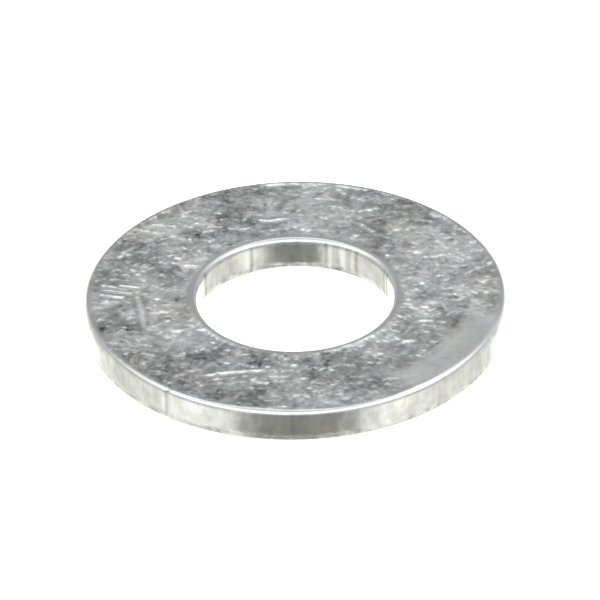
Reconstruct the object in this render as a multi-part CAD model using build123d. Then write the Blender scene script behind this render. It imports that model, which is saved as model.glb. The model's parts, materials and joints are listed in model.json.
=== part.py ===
from build123d import *
import os

# A flat washer: one ring blanked from steel strip and then barrel plated with zinc.
# One stroke of a compound die cuts the rim and the bore together, so both walls run the same
# way: a rolled edge at the upper face, a burnished straight land, a torn band that slopes back
# into the metal, and a broken lower edge.
# Millimetres, +Z up through the bore. The origin is the centre of the lower bearing face.

# The ring
outer_diameter = 18.0
bore_diameter = 8.4
thickness = 1.5

# Rolled upper edges, where the metal was drawn in as the tool entered
rim_roll_radius = 0.28
bore_roll_radius = 0.25

# Torn bands at the foot of the walls: how high each reaches and how far its foot draws back
rim_tear_height = 0.34
rim_tear_setback = 0.06
bore_tear_height = 0.36
bore_tear_setback = 0.16

# Lower edges, tumbled smooth in the plating barrel
rim_lower_edge_radius = 0.18
bore_lower_edge_radius = 0.12


def section_corners():
    """The half section's corners as radius and height, each with the radius that rounds it."""
    rim = outer_diameter / 2
    bore = bore_diameter / 2
    return [
        ((bore + bore_tear_setback, 0), bore_lower_edge_radius),
        ((rim - rim_tear_setback, 0), rim_lower_edge_radius),
        ((rim, rim_tear_height), None),
        ((rim, thickness), rim_roll_radius),
        ((bore, thickness), bore_roll_radius),
        ((bore, bore_tear_height), None),
    ]


def washer():
    """The ring, turned from its half section about the bore's axis."""
    corners = section_corners()
    with BuildPart() as ring:
        with BuildSketch(Plane.XZ):
            with BuildLine():
                Polyline(*[place for place, rounding in corners], close=True)
            make_face()
            for place, rounding in corners:
                if rounding:
                    fillet(vertices().sort_by_distance(place)[0], rounding)
        revolve(axis=Axis.Z)
    ring.part.label = "washer"
    return ring.part


os.makedirs("parts", exist_ok=True)
export_step(washer(), "parts/washer.step")
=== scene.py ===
import json
import math

import bpy
from mathutils import Euler, Matrix, Vector


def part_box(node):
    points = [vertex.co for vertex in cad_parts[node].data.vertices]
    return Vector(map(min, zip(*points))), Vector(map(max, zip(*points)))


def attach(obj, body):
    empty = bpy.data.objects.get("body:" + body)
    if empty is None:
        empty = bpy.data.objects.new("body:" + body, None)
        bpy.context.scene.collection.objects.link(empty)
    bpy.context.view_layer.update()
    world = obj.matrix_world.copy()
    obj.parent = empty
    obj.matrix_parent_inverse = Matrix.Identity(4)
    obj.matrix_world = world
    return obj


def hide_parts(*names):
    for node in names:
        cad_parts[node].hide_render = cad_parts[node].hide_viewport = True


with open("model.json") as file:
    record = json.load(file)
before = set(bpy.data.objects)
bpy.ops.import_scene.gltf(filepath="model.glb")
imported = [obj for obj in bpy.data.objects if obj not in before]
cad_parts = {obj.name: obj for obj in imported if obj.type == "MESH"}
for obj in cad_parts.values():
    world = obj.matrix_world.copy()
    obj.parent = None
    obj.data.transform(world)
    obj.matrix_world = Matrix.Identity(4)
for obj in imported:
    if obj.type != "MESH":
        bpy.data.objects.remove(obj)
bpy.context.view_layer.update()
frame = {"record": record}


# ---------------------------------------------------------------------------------------------
# The washer. One ring of mild steel, blanked from strip by a compound die that cuts the rim and
# the bore in one stroke, then tumbled in a barrel while bright zinc is plated on. The tumbling
# leaves both faces covered in fine dents and short scratches that run every way.
# ---------------------------------------------------------------------------------------------

mm = 0.001


class Wire:
    """A value on its way through a node tree. Arithmetic on it adds the nodes that work it out."""

    def __init__(self, node, output=0):
        self.tree = node.id_data
        self.socket = node.outputs[output]

    def math(self, operation, *others):
        return Wire(put(self.tree, "ShaderNodeMath", [self, *others], operation=operation))

    def vector(self, operation, *others):
        return Wire(put(self.tree, "ShaderNodeVectorMath", [self, *others], operation=operation))

    def length(self):
        return Wire(put(self.tree, "ShaderNodeVectorMath", [self], operation="LENGTH"), "Value")

    def part(self, axis):
        return Wire(put(self.tree, "ShaderNodeSeparateXYZ", [self]), axis)

    def __add__(self, other):
        return self.math("ADD", other)

    def __sub__(self, other):
        return self.math("SUBTRACT", other)

    def __mul__(self, other):
        return self.math("MULTIPLY", other)

    def __truediv__(self, other):
        return self.math("DIVIDE", other)

    def rest(self, share=1.0):
        """What is left of 1 when this share of the value is taken away."""
        return self * -share + 1.0

    def ramp(self, low, high, bottom=0.0, top=1.0):
        """Climbs smoothly from bottom to top while this value goes from low to high."""
        fade = put(self.tree, "ShaderNodeMapRange", interpolation_type="SMOOTHSTEP")
        for name, value in zip(["Value", "From Min", "From Max", "To Min", "To Max"],
                               [self, low, high, bottom, top]):
            plug(fade, name, value)
        return Wire(fade)


def plug(node, name, value):
    """Gives one input of a node a wire or a plain value."""
    if isinstance(value, Wire):
        node.id_data.links.new(value.socket, node.inputs[name])
    elif value is not None:
        node.inputs[name].default_value = value


def put(tree, kind, inputs=(), **settings):
    """Adds a node with these settings, and these inputs in order or by name."""
    node = tree.nodes.new(kind)
    for name, value in settings.items():
        setattr(node, name, value)
    named = inputs.items() if isinstance(inputs, dict) else enumerate(inputs)
    for name, value in named:
        plug(node, name, value)
    return node


def noise(place, scale, detail=2.0, rough=0.5, shift=0.0):
    """Cloudy noise from 0 to 1, about scale blotches to the millimetre. shift picks another cloud."""
    node = put(place.tree, "ShaderNodeTexNoise", noise_dimensions="4D")
    for name, value in zip(["Vector", "W", "Scale", "Detail", "Roughness"],
                           [place, shift, scale, detail, rough]):
        plug(node, name, value)
    return Wire(node, "Fac")


def total(layers):
    """The sum of several layers."""
    summed = layers[0]
    for layer in layers[1:]:
        summed = summed + layer
    return summed


def strongest(marks):
    """The strongest of several marks at each point."""
    most = marks[0]
    for mark in marks[1:]:
        most = most.math("MAXIMUM", mark)
    return most


# Sizes in millimetres. The first three are read from the frame. The edges and the torn bands are
# the solid's own, written again because the frame doesn't hold them. The rows are how closely each
# part of the section is divided.
low_corner, high_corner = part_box("washer")
bore_mount = next(m for m in frame["record"]["mounts"] if m["name"] == "bore")
sizes = {
    "Outer Diameter": (high_corner.x - low_corner.x) / mm,
    "Bore Diameter": bore_mount["dims"]["r_mm"] * 2,
    "Thickness": (high_corner.z - low_corner.z) / mm,
    "Rim Roll": 0.28,
    "Bore Roll": 0.25,
    "Rim Tear Height": 0.34,
    "Rim Tear Setback": 0.06,
    "Bore Tear Height": 0.36,
    "Bore Tear Setback": 0.16,
    "Rim Lower Edge": 0.18,
    "Bore Lower Edge": 0.12,
    "Upper Row": 0.064,
    "Wall Row": 0.10,
    "Torn Row": 0.05,
    "Lower Row": 0.40,
}

# The seed moves the clouds of dents. The nicks, the grain and the placed marks don't follow it.
counts = {"Facets Round": 768, "Seed": 0}

tree = bpy.data.node_groups.new("blanked_ring", "GeometryNodeTree")
for name in sizes:
    tree.interface.new_socket(name, in_out="INPUT", socket_type="NodeSocketFloat")
for name in counts:
    tree.interface.new_socket(name, in_out="INPUT", socket_type="NodeSocketInt")
tree.interface.new_socket("Finish", in_out="INPUT", socket_type="NodeSocketMaterial")
tree.interface.new_socket("Washer", in_out="OUTPUT", socket_type="NodeSocketGeometry")
group_input = tree.nodes.new("NodeGroupInput")
given = {item.name: Wire(group_input, item.name) for item in tree.interface.items_tree
         if item.in_out == "INPUT"}
index = Wire(tree.nodes.new("GeometryNodeInputIndex"))
place = Wire(tree.nodes.new("GeometryNodeInputPosition"))
normal = Wire(tree.nodes.new("GeometryNodeInputNormal"))


def choose(kind, values):
    """For each point, the value in this list that has the point's own number."""
    node = put(tree, "GeometryNodeIndexSwitch", data_type=kind)
    while len(node.index_switch_items) < len(values):
        node.index_switch_items.new()
    plug(node, "Index", index)
    for number, value in enumerate(values):
        plug(node, str(number), value)
    return Wire(node)


def point(x, y, z=0.0):
    """A point from three numbers or wires."""
    return Wire(put(tree, "ShaderNodeCombineXYZ", [x, y, z]))


# The corners of the half section: distance out, height, radius of the corner and how many steps it
# is rounded in.
rim = given["Outer Diameter"] / 2
bore = given["Bore Diameter"] / 2
middle = (rim + bore) / 2
top = given["Thickness"]
edge_steps = 5
lower_steps = 3
corners = [
    (bore, given["Bore Tear Height"], 0.0, 0),
    (bore, top, given["Bore Roll"], edge_steps),
    (rim, top, given["Rim Roll"], edge_steps),
    (rim, given["Rim Tear Height"], 0.0, 0),
    (rim - given["Rim Tear Setback"], 0.0, given["Rim Lower Edge"], lower_steps),
    (bore + given["Bore Tear Setback"], 0.0, given["Bore Lower Edge"], lower_steps),
]


def down(y):
    """Height is drawn downwards, because the sweep below turns the section over."""
    return y * -1.0


outline = put(tree, "GeometryNodeMeshLine", {"Count": len(corners)})
placed = put(tree, "GeometryNodeSetPosition", {
    "Geometry": Wire(outline),
    "Position": choose("VECTOR", [point(x - middle, down(y)) for x, y, _, _ in corners]),
})
loop = put(tree, "GeometryNodeMeshToCurve", [Wire(placed)])
closed = put(tree, "GeometryNodeSetSplineCyclic", {"Geometry": Wire(loop), "Cyclic": True})
rounded = put(tree, "GeometryNodeFilletCurve", {
    "Curve": Wire(closed),
    "Radius": choose("FLOAT", [radius for _, _, radius, _ in corners]),
    "Count": choose("INT", [steps for _, _, _, steps in corners]),
    "Limit Radius": True,
}, mode="POLY")

# Rows are close together on the upper face, where the dents show, and wide apart underneath.
hair = 0.001
following = put(tree, "GeometryNodeOffsetPointInCurve", {"Offset": 1})
at_next = put(tree, "GeometryNodeFieldAtIndex", data_type="FLOAT_VECTOR", domain="POINT")
plug(at_next, "Value", place)
plug(at_next, "Index", Wire(following, "Point Index"))
run = Wire(at_next).vector("SUBTRACT", place).length()
height = (Wire(at_next).part("Y") + place.part("Y")) * -0.5
on_top = height.math("GREATER_THAN", top - hair)
on_wall = height.math("GREATER_THAN", hair)
on_land = height.math("GREATER_THAN", given["Bore Tear Height"])
spacing = given["Lower Row"] + on_wall * (given["Torn Row"] - given["Lower Row"])
spacing = spacing + on_land * (given["Wall Row"] - spacing)
spacing = spacing + on_top * (given["Upper Row"] - spacing)
rows = put(tree, "GeometryNodeSubdivideCurve", {
    "Curve": Wire(rounded),
    "Cuts": (run / spacing).math("FLOOR"),
})

# The section goes once round a circle at the middle of the ring's width.
circle = put(tree, "GeometryNodeCurvePrimitiveCircle", {
    "Resolution": given["Facets Round"],
    "Radius": middle,
})
swept = put(tree, "GeometryNodeCurveToMesh", [Wire(circle), Wire(rows)])
body = Wire(swept, "Mesh")

# What the barrel does to the ring, as heights in millimetres out of the plain surface. Both flats
# are open to knocks. Narrow bands beside the rolled edges stay smooth, with ragged borders.
seed = given["Seed"]
radius = point(place.part("X"), place.part("Y")).length()
azimuth = place.part("Y").math("ARCTAN2", place.part("X"))
level = place.part("Z")
upper = level.ramp(top * 0.9, top * 0.99)
under = level.ramp(top * 0.10, top * 0.01)
ragged = (noise(place, 0.9, 3.0, shift=seed) - 0.5) * 0.5
bore_band = 0.30
rim_band = 0.20
bore_edge = bore + given["Bore Roll"]
inner_band = (radius + ragged * 0.4).ramp(bore_edge, bore_edge + bore_band)
outer_band = (rim - radius + ragged * 0.3).ramp(given["Rim Roll"] * 0.4, given["Rim Roll"] + rim_band)

# One stretch of the upper face near the rim was knocked little: the way round to its middle, how
# far it reaches to each side, how far in from the rim it starts to fade and is whole, and how much
# of the dents it loses.
spot_middle = math.radians(-36)
spot_reach = math.radians(28)
spot_gone = 1.9
spot_whole = 1.3
spot_spared = 0.85
along_rim = (azimuth - spot_middle).math("ABSOLUTE") + ragged * 0.25
near_rim = rim - radius + ragged * 1.2
smooth_spot = (along_rim.ramp(spot_reach, spot_reach * 0.6)
               * near_rim.ramp(spot_gone, spot_whole) * upper)
knocked = (upper + under) * inner_band * outer_band * smooth_spot.rest(spot_spared)


def turned_patches(where, patch, shift):
    """Cuts a face into patches of about this many millimetres, each turned its own way. Gives the
    place on the flat, each patch's three chance numbers, its centre, and its turn's cosine and
    sine."""
    flat = where.vector("ADD", shift).vector("MULTIPLY", Vector((1.0, 1.0, 0.0)))
    patches = put(where.tree, "ShaderNodeTexVoronoi", {"Vector": flat, "Scale": 1 / patch},
                  voronoi_dimensions="2D")
    chances = Wire(patches, "Color")
    turn = chances.part("X") * (2 * math.pi)
    return flat, chances, Wire(patches, "Position"), turn.math("COSINE"), turn.math("SINE")


def nicks(where, patch, length, width, layer):
    """Straight nicks lying every way, one to each patch, each longer or shorter by chance. Gives
    the bed, 1 along its middle and 0 beside it, and a tone, lighter or darker by chance."""
    flat, chances, centre, cosine, sine = turned_patches(
        where, patch, Vector((layer * 7.31, layer * 3.17, 0.0)))
    off = flat.vector("SUBTRACT", centre)
    along = (off.part("X") * cosine + off.part("Y") * sine).math("ABSOLUTE")
    beside = (off.part("Y") * cosine - off.part("X") * sine).math("ABSOLUTE")
    reach = (chances.part("Y") * 1.1 + 0.45) * (length / 2)
    bed = along.ramp(reach, reach * 0.6) * beside.ramp(width / 2, 0.0)
    return bed, bed * (chances.part("Z") - 0.42)


def grain(where, patch, length, width, layer):
    """Rubbed metal, from -0.5 to 0.5: streaks of this length and width, which turn a new way in
    each patch."""
    flat, chances, _, cosine, sine = turned_patches(
        where, patch, Vector((layer * 5.17, layer * 2.39, 0.0)))
    along = flat.part("X") * cosine + flat.part("Y") * sine
    beside = flat.part("Y") * cosine - flat.part("X") * sine
    apart = 50.0
    stretched = Wire(put(where.tree, "ShaderNodeCombineXYZ", [
        along * (1 / length), beside * (1 / width), chances.part("Y") * apart]))
    return noise(stretched, 1.0, 2.0, 0.5, shift=float(layer)) - 0.5


# Dents: blotches to the millimetre, detail, layer, depth. Grain: patch, length, width, layer,
# depth. Nicks: patch, length, width, depth, layer.
dents = [(0.16, 1.0, 1.0, 0.150), (0.50, 2.0, 2.0, 0.070), (1.5, 1.0, 3.0, 0.034)]
rubbed = [(1.2, 1.0, 0.34, 4, 0.040), (0.7, 0.7, 0.28, 5, 0.024)]
broad_nicks = [(1.20, 1.3, 0.40, 0.012, 1), (0.80, 0.8, 0.36, 0.010, 2)]
relief = total(
    [(noise(place, scale, detail, shift=seed + layer) - 0.5) * depth
     for scale, detail, layer, depth in dents]
    + [grain(place, patch, length, width, layer) * depth
       for patch, length, width, layer, depth in rubbed])
for patch, length, width, depth, layer in broad_nicks:
    relief = relief - nicks(place, patch, length, width, layer)[0] * depth

# The long scratches that stand out on the upper face, from end to end, and how far each bows. Each
# has a bed, and smoother banks on both sides of it.
scratches = [
    ((-6.75, 0.18), (-6.44, -2.43), 0.05),
    ((-3.87, -6.12), (-1.17, -5.80), 0.10),
    ((-1.53, 5.80), (-0.27, 5.94), -0.12),
    ((2.70, 5.49), (3.42, 4.68), 0.0),
    ((-8.30, 0.95), (-7.10, 0.60), 0.0),
    ((-8.20, 0.60), (-6.90, 0.25), 0.04),
    ((-8.35, 0.25), (-7.30, -0.05), 0.0),
    ((-7.60, 0.95), (-6.60, 0.70), 0.0),
]
scratch_depth = 0.020
all_beds = []
all_banks = []
for start, end, bow in scratches:
    start, end = Vector(start), Vector(end)
    run_out = end - start
    off = point(place.part("X") - start.x, place.part("Y") - start.y)
    unit = run_out.normalized()
    along = off.part("X") * unit.x + off.part("Y") * unit.y
    share = along / run_out.length
    bowed = share * share.rest() * (4 * bow)
    beside = (off.part("Y") * unit.x - off.part("X") * unit.y - bowed).math("ABSOLUTE")
    ends = share.ramp(-0.02, 0.08) * share.ramp(1.02, 0.92)
    all_beds.append(beside.ramp(0.17, 0.02) * ends * upper)
    all_banks.append(beside.ramp(0.40, 0.20) * ends * upper)
bed = strongest(all_beds)
banks = strongest(all_banks)
relief = relief * banks.rest(0.75) - bed * scratch_depth

# The walls. The land is burnished in upright lines by the tool, and the torn band below it is
# rough, with an uneven border. One upright nick crosses the rim's wall.
outside = radius.math("GREATER_THAN", middle)
wall = (upper + under).rest()
upright = place.vector("MULTIPLY", Vector((1.0, 1.0, 0.18)))
burnish = (noise(upright, 2.2, 3.0, 0.6, shift=seed + 8.0) - 0.5) * 0.016
rough_metal = (noise(place, 2.0, 3.0, 0.65, shift=seed + 10.0) - 0.58) * 0.050
around = place.vector("MULTIPLY", Vector((1.0, 1.0, 0.0)))
tear = given["Bore Tear Height"] + outside * (given["Rim Tear Height"] - given["Bore Tear Height"])
tear = tear + (noise(around, 0.9, 4.0, 0.65, shift=seed + 9.0) - 0.5) * 0.34
torn = (level - tear).ramp(0.04, -0.04) * wall
wall_relief = burnish * torn.rest() + rough_metal * torn
nick_way_round = math.radians(-128)
nick_half_width = 0.16
nick_depth = 0.040
off_nick = ((azimuth - nick_way_round) * rim).math("ABSOLUTE")
wall_nick = off_nick.ramp(nick_half_width, 0.0) * outside

# Upright score marks that the punch left in the bore: degrees round to each, and half its width.
# They are darker lines in the finish only, and have no depth.
punch_marks = [(21, 0.10), (25, 0.10), (51, 0.16), (57, 0.22), (65, 0.28), (71, 0.14), (116, 0.12),
               (155, 0.14)]
score_lines = []
for degrees, half_width in punch_marks:
    off_line = ((azimuth - math.radians(degrees)) * bore).math("ABSOLUTE")
    score_lines.append(off_line.ramp(half_width, half_width * 0.3))
# The nick in the rim's wall joins the score marks here, so that the colour below gives its groove
# painted shade.
scores_and_nick_shade = strongest(score_lines) * outside.rest() * wall + wall_nick * wall

# The knocks go into the metal: hardly anything stands above the upper face, and nothing below
# the lower one, which lies on its own highest points.
proud = 0.012
deepened = 1.35
sunk = 0.028
face_relief = (relief * deepened - sunk).math("MINIMUM", upper * proud)
lift = face_relief * knocked + wall_relief * wall * level.ramp(top, top * 0.85)
lift = lift - wall_nick * level.ramp(top, top - 0.08) * nick_depth
worked = put(tree, "GeometryNodeSetPosition", {
    "Geometry": body,
    "Offset": normal.vector("MULTIPLY", point(lift, lift, lift)),
})
body = Wire(worked)

# The ring carries these along, so that its finish knows what was done where.
carried = {
    "knocked": knocked,
    "torn": torn,
    "bed": bed,
    "banks": banks,
    "wall": wall,
    # The smooth stretch, which the finish also paints lighter as a painted sheen.
    "spared": smooth_spot,
    "scores_and_nick_shade": scores_and_nick_shade,
}
for name, value in carried.items():
    noted = put(tree, "GeometryNodeStoreNamedAttribute", {
        "Geometry": body, "Name": name, "Value": value}, data_type="FLOAT", domain="POINT")
    body = Wire(noted)

scaled = put(tree, "GeometryNodeTransform", {"Geometry": body, "Scale": Vector((mm, mm, mm))})
smooth = put(tree, "GeometryNodeSetShadeSmooth", [Wire(scaled)])
single = put(tree, "GeometryNodeRealizeInstances", [Wire(smooth)])
finished = put(tree, "GeometryNodeSetMaterial", {
    "Geometry": Wire(single), "Material": given["Finish"]})
put(tree, "NodeGroupOutput", [Wire(finished)])

# The finish: bright zinc over steel. Object coordinates are turned into millimetres first.
zinc = bpy.data.materials.new("bright_zinc")
zinc.use_nodes = True
zinc.node_tree.nodes.clear()
coat = zinc.node_tree
per_metre = 1 / mm
where = Wire(put(coat, "ShaderNodeTexCoord"), "Object").vector(
    "MULTIPLY", Vector((per_metre, per_metre, per_metre)))


def noted_value(name):
    """A value that the ring carries from its making."""
    return Wire(put(coat, "ShaderNodeAttribute", attribute_name=name), "Fac")


# The flats: clouding, patches and specks of tone, then grain and nicks too fine for the mesh, which
# are patch, length, width, depth in millimetres and layer. Scratch beds carry a painted glint, and
# their banks are made darker.
open_face = noted_value("knocked")
cloud = noise(where, 0.35, 3.0, 0.6, shift=4.0)
patchy = noise(where, 1.4, 2.0, 0.6, shift=11.0)
speck = noise(where, 3.0, 3.0, 0.7, shift=5.0)
face_tone = cloud.ramp(0.38, 0.62, -0.20, 0.19) + patchy.ramp(0.35, 0.65, 0.11, -0.12)
face_tone = face_tone + speck.ramp(0.42, 0.66, 0.06, -0.17)
face_height = (noise(where, 3.2, 1.0, 0.5, shift=7.0) - 0.5) * 0.010
face_height = face_height + grain(where, 0.7, 0.6, 0.28, 17) * 0.018
fine_nicks = [(0.90, 0.9, 0.32, 0.0070, 11), (0.60, 0.6, 0.30, 0.0062, 12),
              (0.45, 0.4, 0.28, 0.0052, 13)]
nick_contrast = 0.50
for patch, length, width, depth, layer in fine_nicks:
    line, tone = nicks(where, patch, length, width, layer)
    face_height = face_height - line * depth
    face_tone = face_tone + tone * nick_contrast
calm = noted_value("banks")
# The scratch beds are painted lighter here, a painted glint, and their banks a little darker.
face_tone = face_tone * calm.rest(0.6) - calm * 0.10 + noted_value("bed") * 0.52
# The smooth stretch near the rim is painted lighter here: a painted sheen.
face_tone = face_tone * open_face + noted_value("spared") * 0.22

# The walls: upright streaks, light and dark chips where the metal tore, dark score marks, and painted
# shade in the nick.
fracture = noted_value("torn")
side = noted_value("wall")
streaks = noise(where.vector("MULTIPLY", Vector((1.0, 1.0, 0.15))), 1.6, 3.0, 0.65, shift=12.0)
chips = noise(where, 2.6, 2.0, 0.6, shift=13.0)
wall_tone = streaks.ramp(0.30, 0.70, -0.08, 0.06) + patchy.ramp(0.40, 0.65, 0.04, -0.08)
wall_tone = wall_tone + fracture * chips.ramp(0.35, 0.65, -0.16, 0.14)
# Score marks are darkened here, and the nick gets painted shade in its groove.
wall_tone = wall_tone * side - noted_value("scores_and_nick_shade") * 0.22

# The metal's own grey, with a faint cold cast that comes and goes.
plain_zinc = 0.66
shade = face_tone + wall_tone + plain_zinc
cast = noise(where, 0.9, 2.0, shift=6.0)
red_share = cast.ramp(0.3, 0.7, 0.965, 0.990)
blue_share = cast.ramp(0.3, 0.7, 1.025, 0.990)
colour = put(coat, "ShaderNodeCombineColor", [shade * red_share, shade, shade * blue_share])
bump = put(coat, "ShaderNodeBump", {
    "Strength": 1.0, "Distance": mm, "Height": face_height * open_face})
steel = put(coat, "ShaderNodeBsdfPrincipled", {
    "Base Color": Wire(colour),
    "Metallic": 1.0,
    "Roughness": cloud.ramp(0.3, 0.7, 0.24, 0.30) + fracture * 0.18,
    "Normal": Wire(bump),
})
put(coat, "ShaderNodeOutputMaterial", [Wire(steel)])

washer = bpy.data.objects.new("blank", bpy.data.meshes.new("blank"))
bpy.context.scene.collection.objects.link(washer)
press = washer.modifiers.new("press", "NODES")
press.node_group = tree
settings = {**sizes, **counts, "Finish": zinc}
for item in tree.interface.items_tree:
    if item.in_out == "INPUT":
        press[item.identifier] = settings[item.name]
depsgraph = bpy.context.evaluated_depsgraph_get()
ring = bpy.data.meshes.new_from_object(washer.evaluated_get(depsgraph), depsgraph=depsgraph)
washer.modifiers.remove(press)
washer.data = ring
washer.name = "zinc_washer"
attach(washer, "root")
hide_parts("washer")


# ---------------------------------------------------------------------------------------------
# The table. A plain white sheet that glows a little, so that it stays white under the washer. It
# is clear from beneath, and the metal doesn't mirror it, because the tent below stands for it.
# ---------------------------------------------------------------------------------------------

table_side = 6.0
bpy.ops.mesh.primitive_plane_add(size=table_side)
table = bpy.context.object
table.name = "table"
sheet = bpy.data.materials.new("white_sheet")
sheet.use_nodes = True
paper = sheet.node_tree.nodes["Principled BSDF"]
paper.inputs["Base Color"].default_value = (0.9, 0.9, 0.9, 1)
paper.inputs["Roughness"].default_value = 0.9
paper.inputs["Emission Color"].default_value = (1, 1, 1, 1)
paper.inputs["Emission Strength"].default_value = 0.9
faces_down = put(sheet.node_tree, "ShaderNodeNewGeometry")
one_sided = put(sheet.node_tree, "ShaderNodeMixShader", [
    Wire(faces_down, "Backfacing"),
    Wire(paper),
    Wire(put(sheet.node_tree, "ShaderNodeBsdfTransparent")),
])
plug(sheet.node_tree.nodes["Material Output"], "Surface", Wire(one_sided))
table.data.materials.append(sheet)
table.visible_glossy = False


# ---------------------------------------------------------------------------------------------
# The light tent. White cloth lit softly from outside, brightest high up at the sides and in front,
# darker behind the washer, and open where the camera looks in.
# ---------------------------------------------------------------------------------------------

world = bpy.data.worlds.new("light_tent")
bpy.context.scene.world = world
world.use_nodes = True
world.node_tree.nodes.clear()
tent = world.node_tree

# The height above level and the way round, in degrees. The camera looks in from -90, so that 90 is
# behind the washer.
toward = Wire(put(tent, "ShaderNodeTexCoord"), "Generated")
rise = toward.part("Z").math("ARCSINE") * math.degrees(1)
bearing = toward.part("Y").math("ARCTAN2", toward.part("X")) * math.degrees(1)
off_back = (bearing - 90.0).math("ABSOLUTE")
off_front = (bearing + 90.0).math("ABSOLUTE")

# The cloth overhead comes down lower at the sides, and a second sheet of it hangs in front. That
# sheet fades out on the right and ends sharply on the left, where the bearing jumps from -180 to 180.
lower_at_sides = 9.0
overhead = (rise + off_back.ramp(35.0, 60.0) * lower_at_sides).ramp(40.0, 57.0, 0.0, 0.92)
front_sheet = off_front.ramp(110.0, 75.0) * rise.ramp(32.0, 44.0) * rise.ramp(80.0, 62.0)
sides = rise.ramp(-4.0, 30.0, 0.95, 0.66)
behind = off_back.ramp(46.0, 24.0) * rise.ramp(2.0, 14.0) * rise.ramp(56.0, 42.0)
zenith = rise.ramp(60.0, 76.0, 1.0, 0.50)
glow = (overhead + front_sheet + sides) * behind.rest(0.36) * zenith

# The white table gives light back from below: most behind the washer, less beside it, and least
# in front, where the camera's opening is.
aside = off_front.math("MINIMUM", off_front * -1.0 + 360.0)
table_glow = aside.ramp(24.0, 44.0, 0.34, 1.44) + aside.ramp(62.0, 80.0, 0.0, -0.38)
table_glow = table_glow + aside.ramp(128.0, 146.0, 0.0, 0.80)
below = rise.ramp(2.0, -8.0)
glow = glow + below * (table_glow - glow)
opening = aside.ramp(30.0, 18.0) * rise.ramp(22.0, 12.0) * rise.ramp(-8.0, 0.0)
glow = glow * opening.rest(0.72)

# Light from the table is a little warmer than light through the cloth.
light_colour = put(tent, "ShaderNodeCombineColor", [below * 0.012 + 1.0, 1.0, below * -0.09 + 0.99])
light = put(tent, "ShaderNodeBackground", {"Strength": glow, "Color": Wire(light_colour)})
put(tent, "ShaderNodeOutputWorld", [Wire(light)])
bpy.context.scene.view_settings.view_transform = "Standard"


# ---------------------------------------------------------------------------------------------
# The camera. A long lens half a metre in front of the washer, over a third of the way up from level
# to straight above, and turned a little about its own axis. It aims a fraction of a millimetre to
# the right of the middle of the upper face, and below it.
# ---------------------------------------------------------------------------------------------

elevation = math.radians(33.62)
tilt = math.radians(-1.1)
distance = 0.500
aim_right = 0.203
aim_down = 0.255
lens = bpy.data.cameras.new("long_lens")
lens.lens = 704.3
lens.clip_end = 100
camera = bpy.data.objects.new("camera", lens)
turned = Euler((math.pi / 2 - elevation, 0, 0)).to_matrix()
right, up, back = turned.col[0], turned.col[1], turned.col[2]
aim = Vector((0, 0, high_corner.z)) + right * aim_right * mm - up * aim_down * mm
camera.location = aim + back * distance
camera.rotation_euler = (turned @ Matrix.Rotation(tilt, 3, "Z")).to_euler()
bpy.context.scene.collection.objects.link(camera)
bpy.context.scene.camera = camera
